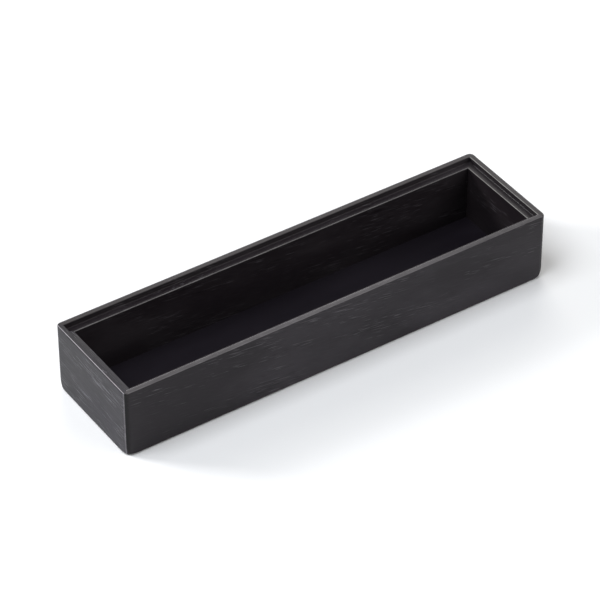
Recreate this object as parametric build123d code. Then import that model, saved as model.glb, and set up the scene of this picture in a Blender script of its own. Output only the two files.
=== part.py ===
from build123d import *
import os
from math import sqrt

# Open pen tray of black-stained wood: four moulded walls, mitred round a flat bottom panel.
# Millimetres. +X runs along the tray, +Y to its back and +Z up, from the middle of its footprint.

# Outside of the tray
LENGTH = 252.0
WIDTH = 65.0
HEIGHT = 40.0
CORNER_RADIUS = 2.8  # upright outer corners, sanded round after gluing
TOP_ROUND = 0.5  # outer edge of the rim
FOOT_ROUND = 1.4  # outer bottom edge

# Wall moulding: a rim, then a riser down to a ledge, run along each wall before mitring
WALL = 6.7  # full thickness, below the ledge
RIM = 3.0
LEDGE_DROP = 3.3  # rim to ledge
COVE_RADIUS = 0.5  # hollow between the riser and the ledge, left by the cutter
RIM_ROUND = 0.3  # inner edge of the rim
LEDGE_ROUND = 0.3  # inner edge of the ledge

# Bottom panel, let into a rebate under the walls
PANEL_THICKNESS = 4.0
PANEL_RECESS = 0.5  # keeps the panel off the table, so that the walls carry the tray
PANEL_LAP = 3.0  # how far the rebate reaches into each wall
PANEL_CLEARANCE = 0.2  # round the panel's edge

# Loose tongues, one hidden across each mitre in a blind pocket
TONGUE_THICKNESS = 1.6
TONGUE_WIDTH = 5.0  # half of it in each wall
TONGUE_COVER = 1.5  # wood between a tongue and the well's corner, square to the walls
TONGUE_MARGIN = 4.5  # wood above and below a pocket
TONGUE_GAP = 0.3  # glue space past a tongue's edges and over its top

floor_height = PANEL_RECESS + PANEL_THICKNESS
ledge_height = HEIGHT - LEDGE_DROP
rebate_width = WALL - PANEL_LAP
pocket_bottom = floor_height + TONGUE_MARGIN
pocket_height = ledge_height - TONGUE_MARGIN - pocket_bottom
tongue_inset = WALL - TONGUE_COVER - TONGUE_THICKNESS / 2 / sqrt(2)


def outer_block():
    """The tray's outside as one block, with its corners and its outer edges rounded."""
    with BuildPart() as block:
        with BuildSketch():
            RectangleRounded(LENGTH, WIDTH, CORNER_RADIUS)
        extrude(amount=HEIGHT)
        fillet(block.faces().sort_by(Axis.Z)[-1].edges(), TOP_ROUND)
        fillet(block.faces().sort_by(Axis.Z)[0].edges(), FOOT_ROUND)
    return block.part


def moulding(span):
    """A straight wall strip along X, outer face at y = 0, before its ends are cut."""
    with BuildPart() as strip:
        with BuildSketch(Plane.YZ) as section:
            with BuildLine():
                Polyline(
                    (0, 0),
                    (0, HEIGHT),
                    (RIM, HEIGHT),
                    (RIM, ledge_height),
                    (WALL, ledge_height),
                    (WALL, floor_height),
                    (rebate_width, floor_height),
                    (rebate_width, 0),
                    close=True,
                )
            make_face()
            riser_foot, ledge_edge = section.vertices().group_by(Axis.Y)[-2].sort_by(Axis.X)
            fillet(riser_foot, COVE_RADIUS)
            fillet(ledge_edge, LEDGE_ROUND)
            rim_edge = section.vertices().group_by(Axis.Y)[-1].sort_by(Axis.X)[-1]
            fillet(rim_edge, RIM_ROUND)
        extrude(amount=span / 2, both=True)
    return strip.part


def mitred(span):
    """The moulding cut to a wall: both ends run in at 45 degrees from the outer corners."""
    with BuildPart() as wedge:
        with BuildSketch():
            with BuildLine():
                Polyline(
                    (-span / 2, 0),
                    (span / 2, 0),
                    (span / 2 - WALL, WALL),
                    (WALL - span / 2, WALL),
                    close=True,
                )
            make_face()
        extrude(amount=HEIGHT)
    return moulding(span) & wedge.part


def across_mitre(side_x, side_y, width, height):
    """A tongue-thick bar set across one corner's mitre plane, standing on the pocket's floor."""
    middle_x = side_x * (LENGTH / 2 - tongue_inset)
    middle_y = side_y * (WIDTH / 2 - tongue_inset)
    bar = Box(width, TONGUE_THICKNESS, height, align=(Align.CENTER, Align.CENTER, Align.MIN))
    return Pos(middle_x, middle_y, pocket_bottom) * Rot(0, 0, -45 * side_x * side_y) * bar


def bottom_panel():
    """The sheet that closes the tray, its top face against the rebates' shoulders."""
    edge_inset = rebate_width + PANEL_CLEARANCE
    sheet = Box(
        LENGTH - 2 * edge_inset,
        WIDTH - 2 * edge_inset,
        PANEL_THICKNESS,
        align=(Align.CENTER, Align.CENTER, Align.MIN),
    )
    return Pos(0, 0, PANEL_RECESS) * sheet


corners = {
    "front_left": (-1, -1),
    "front_right": (1, -1),
    "back_left": (-1, 1),
    "back_right": (1, 1),
}
walls = {
    "front_wall": Pos(0, -WIDTH / 2, 0) * mitred(LENGTH),
    "back_wall": Pos(0, WIDTH / 2, 0) * Rot(0, 0, 180) * mitred(LENGTH),
    "left_end_wall": Pos(-LENGTH / 2, 0, 0) * Rot(0, 0, -90) * mitred(WIDTH),
    "right_end_wall": Pos(LENGTH / 2, 0, 0) * Rot(0, 0, 90) * mitred(WIDTH),
}

pieces = {"bottom_panel": bottom_panel()}
block = outer_block()
pocket_width = TONGUE_WIDTH + 2 * TONGUE_GAP
pockets = [across_mitre(*sides, pocket_width, pocket_height) for sides in corners.values()]
for name, wall in walls.items():
    pieces[name] = (wall & block) - pockets
for name, sides in corners.items():
    pieces[name + "_tongue"] = across_mitre(*sides, TONGUE_WIDTH, pocket_height - TONGUE_GAP)

os.makedirs("parts", exist_ok=True)
for name, piece in pieces.items():
    export_step(piece, f"parts/{name}.step")
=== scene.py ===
"""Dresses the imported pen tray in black-stained wood and sets it in a white studio."""

import logging
import math
from dataclasses import dataclass
from enum import Enum

import bmesh
import bpy
from mathutils import Matrix, Vector


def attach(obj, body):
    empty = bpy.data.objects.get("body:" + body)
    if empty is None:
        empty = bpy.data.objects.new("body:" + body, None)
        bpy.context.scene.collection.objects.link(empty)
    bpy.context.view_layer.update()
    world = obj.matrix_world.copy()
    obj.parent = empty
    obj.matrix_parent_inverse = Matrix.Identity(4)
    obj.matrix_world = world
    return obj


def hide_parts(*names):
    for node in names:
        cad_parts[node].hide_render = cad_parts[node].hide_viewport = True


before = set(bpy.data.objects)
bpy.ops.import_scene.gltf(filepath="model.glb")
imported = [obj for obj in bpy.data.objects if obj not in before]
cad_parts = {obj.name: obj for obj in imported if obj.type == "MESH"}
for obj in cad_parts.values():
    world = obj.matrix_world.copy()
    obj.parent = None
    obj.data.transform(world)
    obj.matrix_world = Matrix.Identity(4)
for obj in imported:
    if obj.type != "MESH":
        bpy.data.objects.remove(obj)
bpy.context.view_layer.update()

LOG = logging.getLogger("pen_tray")
MM = 0.001
CUBE_DIAGONAL = math.sqrt(3.0)
Colour = tuple[float, float, float]
Point = tuple[float, float, float]
Span = tuple[float, float]
Socket = bpy.types.NodeSocket
Feed = float | tuple | bpy.types.NodeSocket
WHITE: Colour = (1.0, 1.0, 1.0)


def metres(span: Span) -> Span:
    """Turns a span in millimetres into metres."""
    return (span[0] * MM, span[1] * MM)


class Grain(Enum):
    """Which way a piece's fibres run, by the axis of the tray that they follow."""

    ALONG = "x"
    ACROSS = "y"
    UPRIGHT = "z"

    def turn(self, lean: float) -> Point:
        """The turn that brings the fibres onto the texture's own X.

        Args:
            lean: How far the fibres rise off that axis, in degrees.

        Returns:
            Angles about X, Y and Z, in radians.
        """
        rise = math.radians(lean)
        if self is Grain.ALONG:
            return (0.0, rise, 0.0)
        if self is Grain.ACROSS:
            return (-rise, 0.0, -math.pi / 2)
        return (0.0, math.pi / 2 - rise, 0.0)


@dataclass(frozen=True)
class Stick:
    """The length of wood that a piece is cut from.

    Attributes:
        grain: The way its fibres run.
        lean: How far they lean off that way, in degrees.
        seed: What sets its pattern apart from the next stick's.
    """

    grain: Grain
    lean: float = 0.0
    seed: float = 0.0


@dataclass(frozen=True)
class Marks:
    """One kind of mark in the grain.

    Attributes:
        length: Its length along the fibres, in millimetres.
        width: Its width across them, in millimetres.
        shift: An offset, in marks, that sets it apart from the other kinds.
        detail: How many times it is broken up more finely.
    """

    length: float
    width: float
    shift: float = 0.0
    detail: float = 2.0


@dataclass(frozen=True)
class TraySizes:
    """The tray's sizes in millimetres, as its solids have them.

    Attributes:
        length: Its length over all.
        width: Its width over all.
        height: Its height over all.
        corner: The radius of its upright corners.
        rim: How wide the rim is.
        wall: How thick a wall is under the ledge.
        ledge: How high the ledge lies.
    """

    length: float = 252.0
    width: float = 65.0
    height: float = 40.0
    corner: float = 2.8
    rim: float = 3.0
    wall: float = 6.7
    ledge: float = 36.7

    def run(self, grain: Grain) -> tuple[int, float]:
        """The axis that a piece lies along.

        Args:
            grain: The way the piece's fibres run.

        Returns:
            The axis's number and the tray's length on it, in millimetres.
        """
        if grain is Grain.ACROSS:
            return 1, self.width
        return 0, self.length


class Graph:
    """One material's nodes, added and wired as they are needed.

    Attributes:
        MIX_INPUTS: A Mix node's sockets for the share and the two colours, since its sockets share names.
        MIX_RESULT: Its socket for the mixed colour.
        ROUGHNESS: How strongly the finer breaks in a mark show.
        SPREAD: How an offset is spread over the three axes.
        material: The material.
        tree: Its nodes and links.
    """

    MIX_INPUTS: tuple[int, int, int] = (0, 6, 7)
    MIX_RESULT: int = 2
    ROUGHNESS: float = 0.55
    SPREAD: Point = (1.0, 0.7, 0.3)

    def __init__(self, name: str) -> None:
        """Starts an empty material.

        Args:
            name: The material's name.
        """
        self.material = bpy.data.materials.new(name)
        self.material.use_nodes = True
        self.tree = self.material.node_tree
        self.tree.nodes.clear()

    def add(self, kind: str, feeds: dict[int | str, Feed], **settings: object) -> bpy.types.Node:
        """Adds a node and wires or sets its inputs.

        Args:
            kind: The node's type.
            feeds: A value or a socket for each input that isn't left at its default.
            settings: The node's own options.

        Returns:
            The new node.
        """
        node = self.tree.nodes.new(kind)
        for option, choice in settings.items():
            setattr(node, option, choice)
        for key, feed in feeds.items():
            if isinstance(feed, Socket):
                self.tree.links.new(feed, node.inputs[key])
            else:
                node.inputs[key].default_value = feed
        return node

    def math(self, operation: str, first: Feed, second: Feed = 0.0) -> Socket:
        """Adds a Math node and returns its result."""
        return self.add("ShaderNodeMath", {0: first, 1: second}, operation=operation).outputs[0]

    def apart(self, first: Feed, second: Feed) -> Socket:
        """Adds nodes for how far two values lie apart and returns the distance."""
        return self.math("ABSOLUTE", self.math("SUBTRACT", first, second))

    def ease(self, value: Feed, over: Span, to: Span = (0.0, 1.0)) -> Socket:
        """Takes a value smoothly from one result to another.

        Args:
            value: What is read.
            over: The readings between which the result changes.
            to: The result up to the first reading and the result from the second on.

        Returns:
            The eased value.
        """
        feeds = {"Value": value, "From Min": over[0], "From Max": over[1], "To Min": to[0], "To Max": to[1]}
        return self.add("ShaderNodeMapRange", feeds, interpolation_type="SMOOTHSTEP").outputs["Result"]

    def blend(self, share: Feed, first: Colour | Socket, second: Colour | Socket) -> Socket:
        """Mixes two colours.

        Args:
            share: How much of the second colour there is, from 0 to 1.
            first: The colour at 0.
            second: The colour at 1.

        Returns:
            The mixed colour.
        """
        feeds = {}
        for key, feed in zip(self.MIX_INPUTS, (share, first, second)):
            feeds[key] = (*feed, 1.0) if isinstance(feed, tuple) else feed
        return self.add("ShaderNodeMix", feeds, data_type="RGBA").outputs[self.MIX_RESULT]

    def place(self) -> Socket:
        """Adds the object's own coordinates and returns them."""
        return self.add("ShaderNodeTexCoord", {}).outputs["Object"]

    def fibres(self, stick: Stick, marks: Marks) -> Socket:
        """Object coordinates turned to the grain and counted in marks.

        Args:
            stick: The wood that the marks lie in.
            marks: Their size.

        Returns:
            The coordinates.
        """
        feeds = {"Vector": self.place(), "Rotation": stick.grain.turn(stick.lean)}
        turned = self.add("ShaderNodeMapping", feeds).outputs[0]
        across = 1 / (marks.width * MM)
        start = stick.seed + marks.shift
        feeds = {
            "Vector": turned,
            "Scale": (1 / (marks.length * MM), across, across),
            "Location": tuple(start * part for part in self.SPREAD),
        }
        return self.add("ShaderNodeMapping", feeds).outputs[0]

    def noise(self, stick: Stick, marks: Marks) -> Socket:
        """Adds a noise of such marks.

        Args:
            stick: The wood that the marks lie in.
            marks: Their size and detail.

        Returns:
            The noise's value, from 0 to 1.
        """
        feeds = {
            "Vector": self.fibres(stick, marks),
            "Scale": 1.0,
            "Detail": marks.detail,
            "Roughness": self.ROUGHNESS,
        }
        return self.add("ShaderNodeTexNoise", feeds).outputs[0]

    def relief(self, height: Socket, depth: float) -> Socket:
        """Adds fine relief to the surface.

        Args:
            height: How far each place stands up, from 0 to 1.
            depth: How far 1 stands up, in millimetres.

        Returns:
            The way the surface then faces.
        """
        feeds = {"Height": height, "Strength": 1.0, "Distance": depth * MM}
        return self.add("ShaderNodeBump", feeds).outputs[0]

    def finish(self, feeds: dict[str, Feed]) -> bpy.types.Material:
        """Closes the material with a surface.

        Args:
            feeds: A value or a socket for each of the surface's inputs that isn't left at its default.

        Returns:
            The material.
        """
        surface = self.add("ShaderNodeBsdfPrincipled", feeds)
        self.add("ShaderNodeOutputMaterial", {"Surface": surface.outputs[0]})
        return self.material


class Spot:
    """Where a point of the surface lies on the tray, as sockets that give metres.

    Attributes:
        axes: The point's X, Y and Z.
        up: How high it is.
        from_end: How far in from the nearer end it is.
        from_side: How far in from the nearer side it is.
        inset: The smaller of those two.
    """

    def __init__(self, graph: Graph, sizes: TraySizes) -> None:
        """Reads the point's place and how far in from the outside it is.

        Args:
            graph: The material's nodes.
            sizes: The tray's sizes.
        """
        self.axes = graph.add("ShaderNodeSeparateXYZ", {"Vector": graph.place()}).outputs
        self.up = self.axes[2]
        self.from_end = graph.math("SUBTRACT", sizes.length / 2 * MM, graph.math("ABSOLUTE", self.axes[0]))
        self.from_side = graph.math("SUBTRACT", sizes.width / 2 * MM, graph.math("ABSOLUTE", self.axes[1]))
        self.inset = graph.math("MINIMUM", self.from_end, self.from_side)


@dataclass(frozen=True)
class PaintedLight:
    """Painted light on a wall's finish, from 0 to 1: painted highlights and sheen on its edges, flats and
    upright corners, and painted shade on those corners and along the mitres.

    Attributes:
        outer_edge: The painted highlight on the rim's outer edge.
        rim_top: The painted sheen on the rim's flat top.
        inner_edge: The painted highlight on the rim's inner edge.
        riser: The painted sheen on the riser between rim and ledge.
        ledge_top: The painted sheen on the ledge's flat top.
        ledge_edge: The painted highlight on the ledge's inner edge.
        corner: The painted highlight on the rounded upright corners.
        corner_shade: How dark the painted shade on the same corners is.
        mitre: How dark the line of painted shade along each mitre is.
        fade: How much of the painted highlight and sheen is missing at the wall's right or back end, a
            painted fall-off of the light.
        reach: How far from an edge its painted highlight is full and ends, in millimetres.
        outer_spot: How far in and down the outer edge's painted highlight lies, in millimetres.
    """

    # Painted highlights and sheen on edges, flats and upright corners.
    outer_edge: float = 0.0
    rim_top: float = 0.0
    inner_edge: float = 0.0
    riser: float = 0.0
    ledge_top: float = 0.0
    ledge_edge: float = 0.0
    corner: float = 0.0
    # Painted shade on the upright corners and along the mitres.
    corner_shade: float = 0.0
    mitre: float = 0.0
    # Painted fall-off of the light toward the right or back end.
    fade: float = 0.0
    reach: Span = (0.15, 0.42)
    outer_spot: Span = (0.62, 0.0)


@dataclass(frozen=True)
class PaintedLightZones:
    """Where the painted highlights and shade lie on every wall, in millimetres but for the last three.

    Attributes:
        edge_drop: How far under an inner edge its painted highlight lies.
        top_depth: How far down the painted sheen on the rim's top goes.
        ledge_start: How far past the riser the painted sheen on the ledge is full.
        flat: How far off the ledge and the riser their painted sheen is full and ends.
        outside: How far in the outer skin is full and ends.
        corner_full: How far round an upright corner its painted highlight and shade are full.
        mitre: How far off a mitre its line of painted shade is full and ends.
        top_slope: What the painted sheen on the rim's top is multiplied by at the outer and at the inner
            edge.
        patch_over: The noise over which the painted highlight's patches change.
        patch_sheen: What the painted highlight is multiplied by there.
    """

    edge_drop: float = 0.1
    top_depth: float = 0.2
    ledge_start: float = 0.3
    flat: Span = (0.05, 0.25)
    outside: Span = (0.8, 1.2)
    corner_full: float = 0.7
    mitre: Span = (0.66, 0.74)
    top_slope: Span = (0.75, 1.25)
    patch_over: Span = (0.35, 0.65)
    patch_sheen: Span = (0.7, 1.0)


@dataclass(frozen=True)
class StainedWood:
    """Black stain and a thin satin lacquer on a close-grained wood, with highlights and shade painted into
    its colour.

    Attributes:
        name: The material's name.
        stick: The wood that the piece is cut from.
        painted_light: The highlights and shade painted into its colour.
        zones: Where they lie.
        thick: The colour where the stain lies thick.
        thin: The colour where it lies thin.
        pore: The colour of a pore that it has not filled.
        highlight_colour: The colour of the painted highlights.
        pit_and_shade: The colour of deep pores, and of the painted shade on the upright corners and along
            the mitres.
        pores_shown: How strongly pores show, from 0 to 1.
        pits_shown: How strongly the dark ones show beside the pale ones, from 0 to 1.
        pore_edge: The noise at which a pore begins and at which it is full.
        drift_start: The noise at which a drift of pores begins.
        drift_edge: How much more noise it takes for the drift to be full.
        between_drifts: The share of the pores that shows between drifts.
        end_shade: How much shade is painted toward the left or front end and toward the other; a negative
            share paints light instead.
        end_reach: Where that begins and is full, out from the middle, as shares of the length.
        rim_shade: How much shade is painted toward the rim.
        rim_reach: Where that begins and is full, as shares of the height.
        fibre: The size of the fibres.
        fibre_over: The noise over which a fibre's stain goes from thick to thin.
        fibre_thins: How thin it is at either end of that.
        cloud: The size of the clouds.
        cloud_over: The noise over which a cloud's stain goes from thick to thin.
        cloud_thins: How thin it is at either end of that.
        streak: The size of the pores.
        drift: The size of their drifts.
        patch: The size of the patches in the rub.
        gloss: The lacquer's least and greatest roughness.
        gloss_over: The sum of fibre and cloud over which that changes.
        refraction: The lacquer's refraction.
        relief: How deep the fibres are felt, in millimetres.
    """

    name: str
    stick: Stick
    painted_light: PaintedLight = PaintedLight()
    zones: PaintedLightZones = PaintedLightZones()
    thick: Colour = (0.0124, 0.0094, 0.0124)
    thin: Colour = (0.0330, 0.0284, 0.0340)
    pore: Colour = (0.070, 0.064, 0.071)
    # Colour of the painted highlights.
    highlight_colour: Colour = (0.24, 0.225, 0.235)
    # Colour of deep pores and of the painted shade on corners and mitres.
    pit_and_shade: Colour = (0.003, 0.0025, 0.003)
    pores_shown: float = 1.0
    pits_shown: float = 0.7
    pore_edge: Span = (0.60, 0.70)
    drift_start: float = 0.48
    drift_edge: float = 0.12
    between_drifts: float = 0.12
    # Painted shade toward the ends and toward the rim.
    end_shade: Span = (0.0, 0.0)
    end_reach: Span = (0.1, 0.5)
    rim_shade: float = 0.0
    rim_reach: Span = (0.1, 0.9)
    fibre: Marks = Marks(length=5.0, width=0.45)
    fibre_over: Span = (0.35, 0.7)
    fibre_thins: Span = (0.0, 0.18)
    cloud: Marks = Marks(length=60.0, width=22.0, shift=14.0, detail=3.0)
    cloud_over: Span = (0.3, 0.7)
    cloud_thins: Span = (0.06, 0.76)
    streak: Marks = Marks(length=9.0, width=0.46, shift=2.0, detail=1.0)
    drift: Marks = Marks(length=36.0, width=8.0, shift=5.0, detail=3.0)
    patch: Marks = Marks(length=9.0, width=2.5, shift=3.0)
    gloss: Span = (0.33, 0.42)
    gloss_over: Span = (0.75, 1.25)
    refraction: float = 1.30
    relief: float = 0.012

    def material(self, sizes: TraySizes) -> bpy.types.Material:
        """Makes the finish.

        Args:
            sizes: The tray's sizes, which say where its edges are.

        Returns:
            The material.
        """
        graph = Graph(self.name)
        spot = Spot(graph, sizes)
        fibre = graph.noise(self.stick, self.fibre)
        cloud = graph.noise(self.stick, self.cloud)
        fine = graph.ease(fibre, self.fibre_over, self.fibre_thins)
        share = graph.math("ADD", fine, graph.ease(cloud, self.cloud_over, self.cloud_thins))
        # Painted shade toward the ends and the rim: the stain is made thicker there.
        share = graph.math("SUBTRACT", share, self.painted_shading(graph, spot, sizes))
        pores, pits = self.pores(graph)
        # Painted highlights on edges, flats and corners, and painted shade on corners and mitres.
        highlight, shade = self.highlights_and_shade(graph, spot, sizes)
        colour = graph.blend(share, self.thick, self.thin)
        colour = graph.blend(pores, colour, self.pore)
        colour = graph.blend(pits, colour, self.pit_and_shade)
        # Painted highlights, then painted shade, over the wood's own colour.
        colour = graph.blend(highlight, colour, self.highlight_colour)
        colour = graph.blend(shade, colour, self.pit_and_shade)
        gloss = graph.ease(graph.math("ADD", fibre, cloud), self.gloss_over, self.gloss)
        facing = graph.relief(graph.math("SUBTRACT", fibre, pores), self.relief)
        feeds = {"Base Color": colour, "Roughness": gloss, "IOR": self.refraction, "Normal": facing}
        return graph.finish(feeds)

    def painted_shading(self, graph: Graph, spot: Spot, sizes: TraySizes) -> Socket:
        """How much shade is painted toward the wall's ends and its rim.

        Args:
            graph: The material's nodes.
            spot: Where a point lies on the tray.
            sizes: The tray's sizes.

        Returns:
            What is taken off the thin share of the stain.
        """
        axis, length = sizes.run(self.stick.grain)
        near, far = (part * length * MM for part in self.end_reach)
        low = graph.ease(spot.axes[axis], (-far, -near), (self.end_shade[0], 0.0))
        high = graph.ease(spot.axes[axis], (near, far), (0.0, self.end_shade[1]))
        start, full = (part * sizes.height * MM for part in self.rim_reach)
        rim = graph.ease(spot.up, (start, full), (0.0, self.rim_shade))
        return graph.math("ADD", graph.math("ADD", low, high), rim)

    def pores(self, graph: Graph) -> tuple[Socket, Socket]:
        """Short lines, in drifts: pale where stain has not filled a pore, dark where it lies deep in one.

        Args:
            graph: The material's nodes.

        Returns:
            How much of a pale line there is and how much of a dark one, from 0 to 1.
        """
        lines = graph.noise(self.stick, self.streak)
        drift = graph.noise(self.stick, self.drift)
        over = (self.drift_start, self.drift_start + self.drift_edge)
        shown = graph.ease(drift, over, (self.between_drifts * self.pores_shown, self.pores_shown))
        start, full = self.pore_edge
        pale = graph.ease(lines, (start, full))
        dark = graph.ease(lines, (1.0 - full, 1.0 - start), (self.pits_shown, 0.0))
        return graph.math("MULTIPLY", pale, shown), graph.math("MULTIPLY", dark, shown)

    def highlights_and_shade(self, graph: Graph, spot: Spot, sizes: TraySizes) -> tuple[Socket, Socket]:
        """Where highlights and shade are painted, by how near a point is to the tray's edges.

        Args:
            graph: The material's nodes.
            spot: Where a point lies on the tray.
            sizes: The tray's sizes.

        Returns:
            The painted highlight's share and the painted shade's share, from 0 to 1.
        """
        painted_light, zones = self.painted_light, self.zones
        outside = graph.ease(spot.inset, metres(zones.outside), (1.0, 0.0))
        turn = graph.math("MAXIMUM", spot.from_end, spot.from_side)
        corner = graph.ease(turn, metres((zones.corner_full, sizes.corner)), (1.0, 0.0))
        corner = graph.math("MULTIPLY", outside, corner)
        # Painted highlights along the edges and painted sheen on the flats and corners.
        edges = self.highlit_edges(graph, spot, sizes)
        highlight = graph.math("MAXIMUM", edges, self.sheen_on_flats(graph, spot, sizes))
        highlight = graph.math("MAXIMUM", highlight, graph.math("MULTIPLY", corner, painted_light.corner))
        patches = graph.noise(self.stick, self.patch)
        highlight = graph.math("MULTIPLY", highlight, graph.ease(patches, zones.patch_over, zones.patch_sheen))
        # Painted fall-off of the light toward the right or back end.
        axis, length = sizes.run(self.stick.grain)
        fade = graph.ease(spot.axes[axis], (0.0, length / 2 * MM), (1.0, 1.0 - painted_light.fade))
        highlight = graph.math("MULTIPLY", highlight, fade)
        # Painted shade along each mitre and round the upright corners.
        off_mitre = graph.apart(spot.from_end, spot.from_side)
        mitre = graph.ease(off_mitre, metres(zones.mitre), (painted_light.mitre, 0.0))
        mitre = graph.math("MULTIPLY", outside, mitre)
        return highlight, graph.math("MAXIMUM", mitre, graph.math("MULTIPLY", corner, painted_light.corner_shade))

    def highlit_edges(self, graph: Graph, spot: Spot, sizes: TraySizes) -> Socket:
        """The painted highlight along the rim's two edges and the ledge's inner edge.

        Args:
            graph: The material's nodes.
            spot: Where a point lies on the tray.
            sizes: The tray's sizes.

        Returns:
            The painted highlight's share, from 0 to 1.
        """
        painted_light = self.painted_light
        drop = self.zones.edge_drop
        edges = (
            (painted_light.outer_spot[0], sizes.height - painted_light.outer_spot[1], painted_light.outer_edge),
            (sizes.rim, sizes.height - drop, painted_light.inner_edge),
            (sizes.wall, sizes.ledge - drop, painted_light.ledge_edge),
        )
        highlight: Feed = 0.0
        for across, up, most in edges:
            run = graph.math("SUBTRACT", spot.inset, across * MM)
            rise = graph.math("SUBTRACT", spot.up, up * MM)
            squares = graph.math("ADD", graph.math("POWER", run, 2.0), graph.math("POWER", rise, 2.0))
            edge = graph.ease(graph.math("SQRT", squares), metres(painted_light.reach), (most, 0.0))
            highlight = graph.math("MAXIMUM", highlight, edge)
        return highlight

    def sheen_on_flats(self, graph: Graph, spot: Spot, sizes: TraySizes) -> Socket:
        """The painted sheen on the rim's top, the ledge and the riser between them.

        Args:
            graph: The material's nodes.
            spot: Where a point lies on the tray.
            sizes: The tray's sizes.

        Returns:
            The painted sheen's share, from 0 to 1.
        """
        painted_light, zones = self.painted_light, self.zones
        over = metres((sizes.height - zones.top_depth, sizes.height))
        top = graph.ease(spot.up, over, (0.0, painted_light.rim_top))
        slope = graph.ease(spot.inset, (0.0, sizes.rim * MM), zones.top_slope)
        top = graph.math("MULTIPLY", top, slope)
        off_ledge = graph.apart(spot.up, sizes.ledge * MM)
        ledge = graph.ease(off_ledge, metres(zones.flat), (painted_light.ledge_top, 0.0))
        inside = graph.ease(spot.inset, metres((sizes.rim, sizes.rim + zones.ledge_start)))
        ledge = graph.math("MULTIPLY", ledge, inside)
        off_riser = graph.apart(spot.inset, sizes.rim * MM)
        riser = graph.ease(off_riser, metres(zones.flat), (painted_light.riser, 0.0))
        return graph.math("MAXIMUM", graph.math("MAXIMUM", top, ledge), riser)


@dataclass(frozen=True)
class BareWood:
    """Planed pale wood, as on the tongues inside the mitres.

    Attributes:
        name: The material's name.
        stick: The wood that the piece is cut from.
        late: The colour of late wood.
        early: The colour of early wood.
        fibre: The size of the fibres.
        fibre_over: The noise over which late wood turns into early wood.
        gloss: The roughness of late and of early wood.
        refraction: The wood's refraction.
        relief: How deep the fibres are felt, in millimetres.
    """

    name: str
    stick: Stick
    late: Colour = (0.42, 0.27, 0.15)
    early: Colour = (0.66, 0.49, 0.32)
    fibre: Marks = Marks(length=9.0, width=0.3, detail=3.0)
    fibre_over: Span = (0.3, 0.7)
    gloss: Span = (0.75, 0.6)
    refraction: float = 1.4
    relief: float = 0.02

    def material(self) -> bpy.types.Material:
        """Makes the finish.

        Returns:
            The material.
        """
        graph = Graph(self.name)
        fibre = graph.noise(self.stick, self.fibre)
        colour = graph.blend(graph.ease(fibre, self.fibre_over), self.late, self.early)
        gloss = graph.ease(fibre, self.fibre_over, self.gloss)
        facing = graph.relief(fibre, self.relief)
        feeds = {"Base Color": colour, "Roughness": gloss, "IOR": self.refraction, "Normal": facing}
        return graph.finish(feeds)


@dataclass(frozen=True)
class FloorPaper:
    """Matt white paper with the faintest clouds.

    Attributes:
        name: The material's name.
        tone: How much light it throws back, from 0 to 1.
        dulled: How much less its clouds throw back, by channel.
        clouds: How many clouds there are to a metre.
        detail: How many times they are broken up more finely.
        roughness: Its roughness.
        refraction: Its refraction.
    """

    name: str = "floor_paper"
    tone: float = 0.98
    dulled: Colour = (0.01, 0.01, 0.008)
    clouds: float = 3.0
    detail: float = 2.0
    roughness: float = 0.9
    refraction: float = 1.3

    def material(self) -> bpy.types.Material:
        """Makes the finish.

        Returns:
            The material.
        """
        graph = Graph(self.name)
        feeds = {"Vector": graph.place(), "Scale": self.clouds, "Detail": self.detail}
        cloud = graph.add("ShaderNodeTexNoise", feeds).outputs[0]
        clear = (self.tone, self.tone, self.tone)
        colour = graph.blend(cloud, clear, tuple(self.tone - less for less in self.dulled))
        return graph.finish({"Base Color": colour, "Roughness": self.roughness, "IOR": self.refraction})


def give_finish(node: str, finish: bpy.types.Material) -> None:
    """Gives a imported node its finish.

    Args:
        node: The node's name.
        finish: The material that takes the place of its plain one.
    """
    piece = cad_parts[node]
    for slot in piece.material_slots:
        slot.material = finish
    LOG.info("%s wears %s", node, finish.name)


@dataclass(frozen=True)
class Sanding:
    """How far the bottom corners of the tray are sanded round, in millimetres.

    Attributes:
        depth: How much comes off a corner's tip.
        reach: How far from the tip the sanding fades.
        skin: How deep under the outside it moves the wood fully and at all.
        cuts: Where a wall's mesh is divided for it, up from the table and in from the corner.
        weld: How near to each other a mesh's points are made one.
    """

    depth: float = 1.05
    reach: float = 3.2
    skin: Span = (1.0, 3.75)
    cuts: tuple[float, ...] = (2.5, 3.6, 5.2, 7.0)
    weld: float = 0.001


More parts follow.
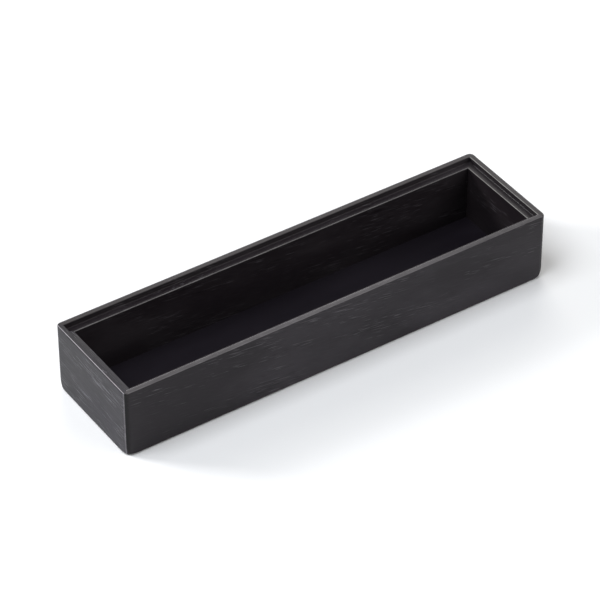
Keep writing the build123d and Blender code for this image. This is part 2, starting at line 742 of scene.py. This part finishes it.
@dataclass
class WallFrame:
    """The four walls, mitred at the corners, with the corners of the foot sanded round.

    Attributes:
        sizes: The tray's sizes.
        finishes: Each wall's stain, by its node.
        sanding: How the corners of the foot are sanded.
    """

    sizes: TraySizes
    finishes: dict[str, StainedWood]
    sanding: Sanding = Sanding()

    def build(self) -> None:
        """Sands each wall's foot and stains the wall along its own grain."""
        for node, finish in self.finishes.items():
            wall = bpy.data.objects.new(f"{node}_sanded", self.sanded(node, finish.stick.grain))
            wall.data.materials.clear()
            wall.data.materials.append(finish.material(self.sizes))
            bpy.context.scene.collection.objects.link(wall)
            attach(wall, "root")
            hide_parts(node)
            LOG.info("%s stands for %s and wears %s", wall.name, node, finish.name)

    def sanded(self, node: str, grain: Grain) -> bpy.types.Mesh:
        """Copies a wall's mesh and rounds the corners of its foot.

        Args:
            node: The wall's node.
            grain: The way the wall runs.

        Returns:
            The new mesh, which keeps the way the solid's surface faces.
        """
        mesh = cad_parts[node].data.copy()
        mesh.name = f"{node}_sanded"
        facing = [0.0] * (3 * len(mesh.loops))
        mesh.corner_normals.foreach_get("vector", facing)
        mesh.attributes.new("facing", "FLOAT_VECTOR", "CORNER").data.foreach_set("vector", facing)
        wall = bmesh.new()
        wall.from_mesh(mesh)
        bmesh.ops.remove_doubles(wall, verts=wall.verts, dist=self.sanding.weld * MM)
        self.divide(wall, grain)
        for vert in wall.verts:
            vert.co += self.taken_off(vert.co)
        wall.to_mesh(mesh)
        wall.free()
        mesh.shade_smooth()
        kept = [Vector(corner.vector).normalized() for corner in mesh.attributes["facing"].data]
        mesh.normals_split_custom_set(kept)
        mesh.attributes.remove(mesh.attributes["facing"])
        return mesh

    def divide(self, wall: bmesh.types.BMesh, grain: Grain) -> None:
        """Divides a wall's mesh near the corners of its foot.

        Args:
            wall: The mesh.
            grain: The way the wall runs.
        """
        axis, length = self.sizes.run(grain)
        run = Vector((0.0, 0.0, 0.0))
        run[axis] = 1.0
        end = run * length / 2
        up = Vector((0.0, 0.0, 1.0))
        for cut in self.sanding.cuts:
            for place, normal in ((up * cut, up), (end - run * cut, run), (run * cut - end, run)):
                faces = [face for face in wall.faces if self.on_foot(face)]
                edges = {edge for face in faces for edge in face.edges}
                verts = {vert for face in faces for vert in face.verts}
                skin = [*faces, *edges, *verts]
                bmesh.ops.bisect_plane(wall, geom=skin, plane_co=place * MM, plane_no=normal)

    def on_foot(self, face: bmesh.types.BMFace) -> bool:
        """Whether a face is part of a wall's outer skin and reaches down to the foot.

        Args:
            face: A face of the wall's mesh.

        Returns:
            True for such a face.
        """
        lowest = min(vert.co.z for vert in face.verts)
        deepest = max(min(self.inset(vert.co)) for vert in face.verts)
        return lowest < self.sanding.cuts[-1] * MM and deepest < self.sanding.skin[1] * MM

    def inset(self, place: Vector) -> Span:
        """How far a place is in from the tray's end and from its side, in metres."""
        return (self.sizes.length / 2 * MM - abs(place.x), self.sizes.width / 2 * MM - abs(place.y))

    def taken_off(self, place: Vector) -> Vector:
        """How far the sanding moves a place on a wall.

        Args:
            place: The place, in metres.

        Returns:
            The move, up and in from the nearest corner of the foot.
        """
        across = self.inset(place)
        full, none = self.sanding.skin
        share = min(1.0, max(0.0, (none - min(across) / MM) / (none - full)))
        from_tip = Vector((*across, place.z)).length / (self.sanding.reach * MM)
        step = share * self.sanding.depth * MM * math.exp(-(from_tip**2)) / CUBE_DIAGONAL
        return Vector((-math.copysign(step, place.x), -math.copysign(step, place.y), step))


@dataclass
class BottomPanel:
    """The sheet that closes the tray from below.

    Attributes:
        sizes: The tray's sizes.
        finish: The sheet's stain.
    """

    sizes: TraySizes
    finish: StainedWood

    def dress(self) -> None:
        """Stains the sheet along the tray."""
        give_finish("bottom_panel", self.finish.material(self.sizes))


@dataclass
class MitreTongues:
    """The loose tongues inside the four mitres.

    Attributes:
        finish: The wood that they are left in.
        corners: The corners that they stand in.
    """

    finish: BareWood
    corners: tuple[str, ...] = ("front_left", "front_right", "back_left", "back_right")

    def dress(self) -> None:
        """Leaves the tongues bare, their grain upright."""
        bare = self.finish.material()
        for corner in self.corners:
            give_finish(f"{corner}_tongue", bare)


@dataclass(frozen=True)
class Softbox:
    """A flat soft light, aimed at the tray.

    Attributes:
        name: The light's name.
        bearing: Where it hangs, in degrees clockwise from the tray's +Y, seen from above.
        height: How high it hangs, in degrees above the table.
        reach: How far from the tray it hangs, in metres.
        width: Its width, in metres.
        tall: Its height, in metres.
        brightness: How bright its face is.
        tint: Its colour.
    """

    name: str
    bearing: float
    height: float
    reach: float
    width: float
    tall: float
    brightness: float
    tint: Colour = WHITE

    def hang(self) -> None:
        """Hangs the light and aims it."""
        turn, rise = math.radians(self.bearing), math.radians(self.height)
        out = Vector((math.sin(turn) * math.cos(rise), math.cos(turn) * math.cos(rise), math.sin(rise)))
        lamp = bpy.data.lights.new(self.name, "AREA")
        lamp.shape = "RECTANGLE"
        lamp.size = self.width
        lamp.size_y = self.tall
        lamp.energy = self.brightness * math.pi * self.width * self.tall
        lamp.color = self.tint
        box = bpy.data.objects.new(self.name, lamp)
        box.location = out * self.reach
        box.rotation_euler = out.to_track_quat("Z", "Y").to_euler()
        box.visible_camera = False
        bpy.context.scene.collection.objects.link(box)


@dataclass(frozen=True)
class Camera:
    """The camera, at the photograph's place.

    Attributes:
        eye: Where it stands, in metres.
        aim: What it looks at, in metres.
        roll: How far it is turned about its own line of sight, in degrees.
        lens: Its focal length, in millimetres.
        sensor: Its sensor's width, in millimetres.
        sight: How far it sees, in metres.
    """

    eye: Point = (-0.73275, -1.09579, 1.09415)
    aim: Point = (-0.00246, 0.00130, 0.02)
    roll: float = -0.215
    lens: float = 202.5
    sensor: float = 36.0
    sight: float = 100.0

    def set_up(self) -> None:
        """Sets the camera up and looks through it."""
        lens = bpy.data.cameras.new("camera")
        lens.sensor_width = self.sensor
        lens.lens = self.lens
        lens.clip_end = self.sight
        camera = bpy.data.objects.new("camera", lens)
        back = Vector(self.eye) - Vector(self.aim)
        turn = back.to_track_quat("Z", "Y").to_matrix().to_4x4()
        roll = Matrix.Rotation(math.radians(self.roll), 4, "Z")
        camera.matrix_world = Matrix.Translation(self.eye) @ turn @ roll
        bpy.context.scene.collection.objects.link(camera)
        bpy.context.scene.camera = camera


@dataclass
class Studio:
    """White floor, soft lights and the camera.

    Attributes:
        lights: The softboxes.
        camera: The camera.
        paper: What the floor is made of.
        surround: How bright the room is all round.
        floor_radius: The floor's radius, in metres.
        floor_sides: How many sides its round edge has.
    """

    lights: tuple[Softbox, ...]
    camera: Camera = Camera()
    paper: FloorPaper = FloorPaper()
    surround: float = 0.12
    floor_radius: float = 8.0
    floor_sides: int = 96

    def build(self) -> None:
        """Lays the floor, hangs the lights and sets the camera."""
        self.lay_floor()
        self.light()
        self.camera.set_up()

    def lay_floor(self) -> None:
        """Lays a round white floor."""
        mesh = bpy.data.meshes.new("floor")
        disc = bmesh.new()
        bmesh.ops.create_circle(disc, cap_ends=True, radius=self.floor_radius, segments=self.floor_sides)
        disc.to_mesh(mesh)
        disc.free()
        mesh.materials.append(self.paper.material())
        floor = bpy.data.objects.new("floor", mesh)
        bpy.context.scene.collection.objects.link(floor)

    def light(self) -> None:
        """Fills the room with even light and hangs the softboxes."""
        world = bpy.data.worlds.new("white_room")
        world.use_nodes = True
        backdrop = world.node_tree.nodes["Background"]
        backdrop.inputs["Color"].default_value = (*WHITE, 1.0)
        backdrop.inputs["Strength"].default_value = self.surround
        bpy.context.scene.world = world
        bpy.context.scene.view_settings.view_transform = "Standard"
        for softbox in self.lights:
            softbox.hang()


def front_stain() -> StainedWood:
    """The front wall's stain, with painted shade toward its ends and its rim and a painted highlight on the
    rim's inner edge.

    Returns:
        The finish.
    """
    # Painted highlights and sheen on the front wall, and painted shade on its corners.
    painted_light = PaintedLight(
        outer_edge=0.24,
        rim_top=0.125,
        inner_edge=1.0,
        corner_shade=0.97,
        fade=0.35,
        outer_spot=(0.4, 0.03),
    )
    return StainedWood(
        "front_stain",
        Stick(Grain.ALONG, lean=-8.0, seed=3.0),
        painted_light,
        thin=(0.0348, 0.0300, 0.0358),
        # Colour of the painted highlights.
        highlight_colour=(0.42, 0.395, 0.41),
        # Painted shade toward the ends, most at the left, and toward the rim.
        end_shade=(0.9, 0.25),
        rim_shade=0.32,
    )


def back_stain() -> StainedWood:
    """The back wall's stain, with a painted highlight on the ledge's inner edge.

    Returns:
        The finish.
    """
    # Painted highlights and sheen on the back wall, and painted shade on its corners.
    painted_light = PaintedLight(
        outer_edge=0.15,
        rim_top=0.03,
        inner_edge=0.1,
        riser=0.045,
        ledge_edge=0.97,
        corner_shade=0.97,
        fade=0.2,
    )
    return StainedWood(
        "back_stain",
        Stick(Grain.ALONG, lean=-6.0, seed=21.0),
        painted_light,
        thick=(0.0150, 0.0112, 0.0138),
        thin=(0.0390, 0.0334, 0.0372),
        # Colour of the painted highlights.
        highlight_colour=(0.238, 0.226, 0.228),
        # Painted shade toward the ends.
        end_shade=(0.3, 0.15),
    )


def left_stain() -> StainedWood:
    """The left end wall's stain, with the most pores and a painted highlight on its outer edge.

    Returns:
        The finish.
    """
    # Painted highlights and sheen on the left wall, and painted shade along its mitres.
    painted_light = PaintedLight(
        outer_edge=1.0,
        rim_top=0.012,
        ledge_top=0.048,
        ledge_edge=0.1,
        corner=0.44,
        mitre=0.97,
        reach=(0.04, 0.27),
        outer_spot=(0.54, 0.0),
    )
    return StainedWood(
        "left_stain",
        Stick(Grain.ACROSS, lean=4.0, seed=37.0),
        painted_light,
        thick=(0.0105, 0.0089, 0.0126),
        thin=(0.0268, 0.0238, 0.0315),
        pore=(0.096, 0.091, 0.105),
        # Colour of the painted highlights.
        highlight_colour=(0.50, 0.475, 0.505),
        pore_edge=(0.54, 0.66),
        drift_start=0.45,
        streak=Marks(length=10.0, width=0.42, shift=2.0, detail=1.0),
        drift=Marks(length=30.0, width=9.0, shift=29.0, detail=3.0),
        refraction=1.275,
        # Painted light toward the front end, painted shade toward the back end and the rim.
        end_shade=(-0.5, 0.85),
        rim_shade=0.25,
    )


def right_stain() -> StainedWood:
    """The right end wall's stain, with painted highlights on both inner edges.

    Returns:
        The finish.
    """
    # Painted highlights and sheen on the right wall, and painted shade along its mitres.
    painted_light = PaintedLight(
        outer_edge=0.12,
        rim_top=0.022,
        inner_edge=0.85,
        ledge_top=0.03,
        ledge_edge=1.0,
        corner=0.8,
        mitre=0.97,
        reach=(0.10, 0.34),
    )
    return StainedWood(
        "right_stain",
        Stick(Grain.ACROSS, lean=3.0, seed=53.0),
        painted_light,
        thick=(0.0138, 0.0104, 0.0128),
        thin=(0.0235, 0.0197, 0.0215),
        # Colour of the painted highlights.
        highlight_colour=(0.34, 0.332, 0.318),
    )


def panel_stain() -> StainedWood:
    """The bottom panel's stain, dark and close, with no pores.

    Returns:
        The finish.
    """
    return StainedWood(
        "panel_stain",
        Stick(Grain.ALONG, seed=71.0),
        thick=(0.0112, 0.0090, 0.0126),
        thin=(0.0162, 0.0132, 0.0180),
        pores_shown=0.0,
    )


def studio_lights() -> tuple[Softbox, ...]:
    """The lights: a small bright one and large soft ones round the tray.

    Returns:
        The softboxes.
    """
    left_box = Softbox(
        "left_box",
        bearing=-45.0,
        height=26.0,
        reach=1.6,
        width=0.40,
        tall=0.40,
        brightness=30.4,
    )
    left_overhead = Softbox(
        "left_overhead",
        bearing=-90.0,
        height=65.0,
        reach=1.8,
        width=1.0,
        tall=1.0,
        brightness=6.9,
        tint=(0.93, 0.96, 1.0),
    )
    back_panel = Softbox(
        "back_panel",
        bearing=33.0,
        height=36.0,
        reach=1.8,
        width=1.0,
        tall=1.1,
        brightness=2.83,
        tint=(1.0, 0.985, 0.955),
    )
    front_box = Softbox(
        "front_box",
        bearing=142.0,
        height=27.0,
        reach=1.3,
        width=1.3,
        tall=0.5,
        brightness=3.25,
    )
    return (left_box, left_overhead, back_panel, front_box)


def main() -> None:
    """Dresses the tray and builds the studio round it."""
    logging.basicConfig(level=logging.INFO)
    sizes = TraySizes()
    walls = {
        "front_wall": front_stain(),
        "back_wall": back_stain(),
        "left_end_wall": left_stain(),
        "right_end_wall": right_stain(),
    }
    WallFrame(sizes, walls).build()
    BottomPanel(sizes, panel_stain()).dress()
    MitreTongues(BareWood("raw_wood", Stick(Grain.UPRIGHT, seed=2.0))).dress()
    Studio(studio_lights()).build()


if __name__ == "__main__":
    main()
